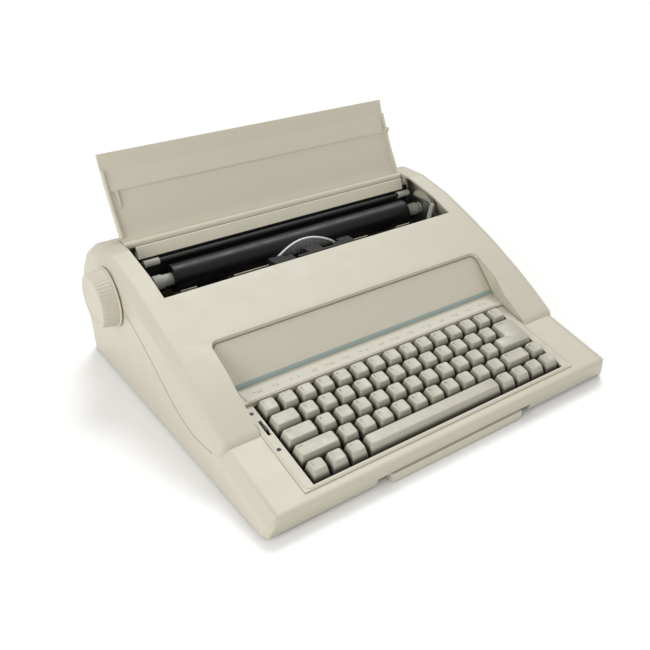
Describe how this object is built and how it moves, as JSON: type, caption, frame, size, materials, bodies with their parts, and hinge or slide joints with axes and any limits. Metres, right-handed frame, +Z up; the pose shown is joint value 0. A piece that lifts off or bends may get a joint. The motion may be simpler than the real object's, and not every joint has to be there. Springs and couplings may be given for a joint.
{
  "type": "electronic typewriter",
  "caption": "Portable electronic typewriter with a sloping keyboard, open hinged lid, rubber platen, side knob and pull-out carrying handle.",
  "frame": {"origin": "on the table under the middle of the case: the point midway between its sides and midway between its front lip and back wall, on the underside of the middle foot", "axes": "+X to the right of the person typing, +Y to the rear, +Z up"},
  "size_m": [0.4147, 0.3755, 0.2145],
  "materials": {
    "belt_rubber": "matt",
    "bezel_plastic": "fine moulded texture",
    "black_plastic": "satin black",
    "board_laminate": "green laminate",
    "case_plastic": "fine moulded texture, warm beige",
    "clear_plastic": "clear",
    "core_metal": "varnished laminations",
    "dome_rubber": "matt",
    "foot_rubber": "matt",
    "gear_plastic": "satin",
    "inlet_plastic": "matt black",
    "key_plastic": "satin, dished tops with small grey legends",
    "legend_plastic": "satin strip with small grey marks",
    "lid_plastic": "fine moulded texture, a shade darker than the case",
    "light_plastic": "satin light grey",
    "motor_metal": "dark grey can",
    "painted_sheet": "grey-green lacquer",
    "pinion_brass": "machined",
    "plate_steel": "black",
    "platen_rubber": "satin black",
    "pulley_metal": "turned",
    "roller_rubber": "matt",
    "steel_rod": "ground rod",
    "steel_sheet": "zinc-plated sheet",
    "stripe_paint": "grey-green stripe"
  },
  "bodies": {
    "case": {"lower_case": "case_plastic", "upper_cover": "case_plastic", "rubber_feet": "foot_rubber", "case_screws": "steel_rod", "keyboard_bezel": "bezel_plastic", "legend_strip": "legend_plastic", "accent_stripe": "stripe_paint", "key_support_plate": "plate_steel", "dome_sheet": "dome_rubber", "main_board": "board_laminate", "transformer": "core_metal", "power_inlet": "inlet_plastic", "left_side_frame": "steel_sheet", "right_side_frame": "steel_sheet", "front_rail": "steel_rod", "rear_rail": "steel_rod", "paper_chute": "painted_sheet", "paper_pan": "painted_sheet", "line_feed_motor": "motor_metal", "carriage_motor": "motor_metal", "carriage_belt": "belt_rubber", "lid_hinge_pins": "steel_rod", "platen_bushes": "light_plastic"},
    "lid": {"top_lid": "lid_plastic"},
    "platen": {"platen_roller": "platen_rubber", "platen_shaft": "steel_rod", "platen_collars": "light_plastic", "platen_knob": "case_plastic", "platen_gear": "gear_plastic"},
    "pinion": {"feed_pinion": "pinion_brass"},
    "pressure": {"pressure_rollers": "roller_rubber"},
    "bail": {"bail_bar": "painted_sheet", "bail_rollers": "light_plastic"},
    "paper_lever": {"release_lever": "light_plastic"},
    "carriage": {"carriage_frame": "black_plastic", "card_holder": "clear_plastic", "ribbon_cassette": "black_plastic", "correction_spools": "light_plastic", "wheel_motor": "motor_metal"},
    "wheel": {"print_wheel": "black_plastic"},
    "hammer": {"print_hammer": "steel_rod"},
    "motor_pulley": {"drive_pulley": "pulley_metal"},
    "belt_idler": {"idler_pulley": "pulley_metal"},
    "handle": {"carrying_handle": "case_plastic"},
    "switch": {"power_switch": "inlet_plastic"},
    "slider": {"pitch_slider": "black_plastic"},
    "number_keys_left": {"number_keys_left": "key_plastic"},
    "number_keys_right": {"number_keys_right": "key_plastic"},
    "upper_row_keys": {"upper_row_keys": "key_plastic"},
    "tab_key": {"tab_key": "key_plastic"},
    "home_row_keys": {"home_row_keys": "key_plastic"},
    "caps_lock_key": {"caps_lock_key": "key_plastic"},
    "return_key": {"return_key": "key_plastic"},
    "lower_row_keys": {"lower_row_keys": "key_plastic"},
    "left_shift_key": {"left_shift_key": "key_plastic"},
    "right_shift_key": {"right_shift_key": "key_plastic"},
    "repeat_key": {"repeat_key": "key_plastic"},
    "front_left_keys": {"front_left_keys": "key_plastic"},
    "front_right_keys": {"front_right_keys": "key_plastic"},
    "space_bar": {"space_bar": "key_plastic"}
  },
  "joints": [
    {"name": "lid_hinge", "type": "hinge", "parent": "case", "child": "lid", "pos_m": [0, 0.12, 0.1325], "axis": [1, 0, 0], "range_deg": [0, 127.6]},
    {"name": "platen_turn", "type": "hinge", "parent": "case", "child": "platen", "pos_m": [0, 0.095, 0.098], "axis": [1, 0, 0], "continuous": true},
    {"name": "feed_pinion_turn", "type": "hinge", "parent": "case", "child": "pinion", "pos_m": [0.184, 0.08, 0.07436], "axis": [1, 0, 0], "continuous": true},
    {"name": "pressure_rollers_turn", "type": "hinge", "parent": "case", "child": "pressure", "pos_m": [0, 0.10741, 0.08321], "axis": [1, 0, 0], "continuous": true},
    {"name": "bail_swing", "type": "hinge", "parent": "case", "child": "bail", "pos_m": [0, 0.11, 0.096], "axis": [1, 0, 0], "range_deg": [0, 20]},
    {"name": "release_lever_swing", "type": "hinge", "parent": "case", "child": "paper_lever", "pos_m": [0.165, 0.059, 0.088], "axis": [1, 0, 0], "range_deg": [0, 12]},
    {"name": "carriage_slide", "type": "slide", "parent": "case", "child": "carriage", "axis": [1, 0, 0], "range_m": [-0.105, 0.1]},
    {"name": "motor_pulley_turn", "type": "hinge", "parent": "case", "child": "motor_pulley", "pos_m": [-0.144, 0.034, 0.024], "axis": [0, 1, 0], "range_deg": [-760, 760]},
    {"name": "belt_idler_turn", "type": "hinge", "parent": "case", "child": "belt_idler", "pos_m": [0.165, 0.034, 0.024], "axis": [0, 1, 0], "range_deg": [-760, 760]},
    {"name": "print_wheel_turn", "type": "hinge", "parent": "carriage", "child": "wheel", "pos_m": [0.011, 0.0764, 0.068], "axis": [0, 1, 0], "continuous": true},
    {"name": "hammer_strike", "type": "slide", "parent": "carriage", "child": "hammer", "axis": [0, 1, 0], "range_m": [0, 0.0022], "stiffness_N_per_m": 150, "springref_m": -0.001},
    {"name": "handle_slide", "type": "slide", "parent": "case", "child": "handle", "axis": [0, -1, 0], "range_m": [0, 0.045]},
    {"name": "power_switch_rock", "type": "hinge", "parent": "case", "child": "switch", "pos_m": [0.191, 0.13, 0.046], "axis": [0, 0, -1], "range_deg": [0, 12]},
    {"name": "pitch_slide", "type": "slide", "parent": "case", "child": "slider", "axis": [0, 0.9744, 0.225], "range_m": [0, 0.005]},
    {"name": "number_keys_left_press", "type": "slide", "parent": "case", "child": "number_keys_left", "axis": [0, 0.225, -0.9744], "range_m": [0, 0.003], "stiffness_N_per_m": 1260, "springref_m": -0.0015},
    {"name": "number_keys_right_press", "type": "slide", "parent": "case", "child": "number_keys_right", "axis": [0, 0.225, -0.9744], "range_m": [0, 0.003], "stiffness_N_per_m": 1440, "springref_m": -0.0015},
    {"name": "upper_row_keys_press", "type": "slide", "parent": "case", "child": "upper_row_keys", "axis": [0, 0.225, -0.9744], "range_m": [0, 0.003], "stiffness_N_per_m": 2160, "springref_m": -0.0015},
    {"name": "tab_key_press", "type": "slide", "parent": "case", "child": "tab_key", "axis": [0, 0.225, -0.9744], "range_m": [0, 0.003], "stiffness_N_per_m": 180, "springref_m": -0.0015},
    {"name": "home_row_keys_press", "type": "slide", "parent": "case", "child": "home_row_keys", "axis": [0, 0.225, -0.9744], "range_m": [0, 0.003], "stiffness_N_per_m": 1980, "springref_m": -0.0015},
    {"name": "caps_lock_key_press", "type": "slide", "parent": "case", "child": "caps_lock_key", "axis": [0, 0.225, -0.9744], "range_m": [0, 0.003], "stiffness_N_per_m": 180, "springref_m": -0.0015},
    {"name": "return_key_press", "type": "slide", "parent": "case", "child": "return_key", "axis": [0, 0.225, -0.9744], "range_m": [0, 0.003], "stiffness_N_per_m": 180, "springref_m": -0.0015},
    {"name": "lower_row_keys_press", "type": "slide", "parent": "case", "child": "lower_row_keys", "axis": [0, 0.225, -0.9744], "range_m": [0, 0.003], "stiffness_N_per_m": 1800, "springref_m": -0.0015},
    {"name": "left_shift_key_press", "type": "slide", "parent": "case", "child": "left_shift_key", "axis": [0, 0.225, -0.9744], "range_m": [0, 0.003], "stiffness_N_per_m": 180, "springref_m": -0.0015},
    {"name": "right_shift_key_press", "type": "slide", "parent": "case", "child": "right_shift_key", "axis": [0, 0.225, -0.9744], "range_m": [0, 0.003], "stiffness_N_per_m": 180, "springref_m": -0.0015},
    {"name": "repeat_key_press", "type": "slide", "parent": "case", "child": "repeat_key", "axis": [0, 0.225, -0.9744], "range_m": [0, 0.003], "stiffness_N_per_m": 180, "springref_m": -0.0015},
    {"name": "front_left_keys_press", "type": "slide", "parent": "case", "child": "front_left_keys", "axis": [0, 0.225, -0.9744], "range_m": [0, 0.003], "stiffness_N_per_m": 540, "springref_m": -0.0015},
    {"name": "front_right_keys_press", "type": "slide", "parent": "case", "child": "front_right_keys", "axis": [0, 0.225, -0.9744], "range_m": [0, 0.003], "stiffness_N_per_m": 720, "springref_m": -0.0015},
    {"name": "space_bar_press", "type": "slide", "parent": "case", "child": "space_bar", "axis": [0, 0.225, -0.9744], "range_m": [0, 0.003], "stiffness_N_per_m": 300, "springref_m": -0.0015}
  ],
  "couplings": [
    {"joint": "feed_pinion_turn", "follows": "platen_turn", "ratio": -2.5},
    {"joint": "pressure_rollers_turn", "follows": "platen_turn", "ratio": -2.8},
    {"joint": "motor_pulley_turn", "follows": "carriage_slide", "rad_per_m": 125},
    {"joint": "belt_idler_turn", "follows": "carriage_slide", "rad_per_m": 125}
  ]
}
